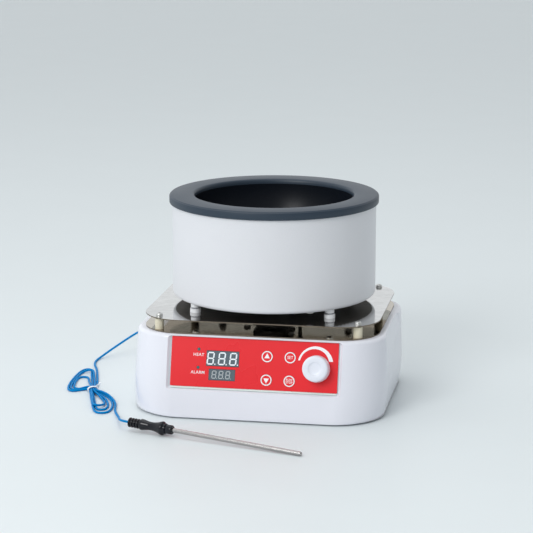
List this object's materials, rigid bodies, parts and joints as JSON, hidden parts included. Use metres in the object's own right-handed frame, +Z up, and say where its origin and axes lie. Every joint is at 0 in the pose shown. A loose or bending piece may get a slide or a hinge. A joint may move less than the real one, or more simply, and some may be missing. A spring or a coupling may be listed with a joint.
{
  "type": "heating mantle",
  "caption": "Laboratory heating pot with a stirrer: a round insulated bowl on raised steel plates over a moulded base with a leaning control panel and a corded sensor.",
  "frame": {"origin": "centre of the underside of the box around the appliance, on the bench under its feet; the sensor and its lead are not counted", "axes": "+X to the right of someone facing the control panel, +Y towards the back, +Z up"},
  "size_m": [0.3872, 0.4231, 0.2311],
  "materials": {
    "housing": "satin",
    "cover": "matt",
    "foot_rubber": "matt",
    "zinc_screw": "zinc plated",
    "panel_red": "satin print",
    "scale_white": "satin print",
    "display_glass": "gloss, smoked",
    "digit_white": "lit segments",
    "lamp_teal": "translucent",
    "key_red": "satin print",
    "board_green": "satin lacquer",
    "chip_black": "matt",
    "knob_white": "satin",
    "turned_steel": "turned",
    "stainless": "mirror polished",
    "spacer_cream": "satin",
    "washer_dark": "matt",
    "sleeve_white": "satin",
    "sleeve_band": "satin",
    "dome_steel": "polished",
    "dark_steel": "blackened",
    "shell_paint": "fine textured enamel",
    "plug_white": "satin",
    "bowl_dark": "smooth dark coating",
    "collar_dark": "satin powder coat",
    "element_grey": "oxidised",
    "lead_sleeve": "braided glass sleeve",
    "ceramic_white": "unglazed",
    "wool": "mineral fibre",
    "motor_steel": "zinc plated",
    "magnet_bar": "black",
    "magnet_nickel": "nickel plated",
    "black_moulding": "satin",
    "pin_brass": "tinned",
    "rocker_black": "satin",
    "cord_blue": "smooth jacket",
    "tie_white": "translucent strip",
    "handle_black": "gloss",
    "probe_steel": "polished"
  },
  "bodies": {
    "base_unit": {"base_housing": "housing", "bottom_cover": "cover", "rubber_feet": "foot_rubber", "cover_screws": "zinc_screw", "control_panel": "panel_red", "speed_scale": "scale_white", "temperature_display": "display_glass", "alarm_display": "display_glass", "temperature_digits": "digit_white", "alarm_digits": "digit_white", "heat_lamp": "lamp_teal", "alarm_lamp": "lamp_teal", "control_board": "board_green", "board_components": "chip_black", "board_screws": "zinc_screw", "speed_control": "motor_steel", "control_nut": "turned_steel", "lower_plate": "stainless", "upper_plate": "stainless", "plate_spacers": "spacer_cream", "spacer_washers": "washer_dark", "spacer_screws": "zinc_screw", "standoff_feet": "sleeve_white", "standoff_bands": "sleeve_band", "standoff_sleeves": "sleeve_white", "pot_studs": "turned_steel", "dome_nuts": "dome_steel", "centre_bolts": "dark_steel", "centre_sleeves": "dark_steel", "outer_shell": "shell_paint", "floor_plug": "plug_white", "inner_bowl": "bowl_dark", "collar_ring": "collar_dark", "heating_element": "element_grey", "heater_leads": "lead_sleeve", "terminal_block": "ceramic_white", "insulation": "wool", "stirrer_motor": "motor_steel", "motor_screws": "zinc_screw", "power_inlet": "black_moulding", "inlet_pins": "pin_brass", "switch_case": "black_moulding", "sensor_socket": "black_moulding", "sensor_connector": "black_moulding", "cord_lead": "cord_blue", "cord_hank": "cord_blue", "cord_tie": "tie_white", "cord_tail": "cord_blue", "probe_handle": "handle_black", "probe_rod": "probe_steel"},
    "knob": {"speed_knob": "knob_white", "control_shaft": "turned_steel"},
    "up_button": {"up_key": "key_red"},
    "down_button": {"down_key": "key_red"},
    "set_button": {"set_key": "key_red"},
    "run_button": {"run_key": "key_red"},
    "power_rocker": {"switch_rocker": "rocker_black"},
    "stirrer_rotor": {"drive_shaft": "turned_steel", "magnet_carrier": "magnet_bar", "drive_magnets": "magnet_nickel"}
  },
  "joints": [
    {"name": "knob_turn", "type": "hinge", "parent": "base_unit", "child": "knob", "pos_m": [0.07, -0.11622, 0.06052], "axis": [0, 0.9636, -0.2672], "range_deg": [-60, 210]},
    {"name": "up_press", "type": "slide", "parent": "base_unit", "child": "up_button", "axis": [0, 0.9636, -0.2672], "range_m": [0, 0.0005], "stiffness_N_per_m": 400, "springref_m": -0.0005},
    {"name": "set_press", "type": "slide", "parent": "base_unit", "child": "set_button", "axis": [0, 0.9636, -0.2672], "range_m": [0, 0.0005], "stiffness_N_per_m": 400, "springref_m": -0.0005},
    {"name": "down_press", "type": "slide", "parent": "base_unit", "child": "down_button", "axis": [0, 0.9636, -0.2672], "range_m": [0, 0.0005], "stiffness_N_per_m": 400, "springref_m": -0.0005},
    {"name": "run_press", "type": "slide", "parent": "base_unit", "child": "run_button", "axis": [0, 0.9636, -0.2672], "range_m": [0, 0.0005], "stiffness_N_per_m": 400, "springref_m": -0.0005},
    {"name": "power_switch", "type": "hinge", "parent": "base_unit", "child": "power_rocker", "pos_m": [0.02, 0.1125, 0.045], "axis": [1, 0, 0], "range_deg": [0, 16]},
    {"name": "stirrer_spin", "type": "hinge", "parent": "base_unit", "child": "stirrer_rotor", "pos_m": [0, 0.013, 0.098], "axis": [0, 0, 1], "continuous": true}
  ]
}
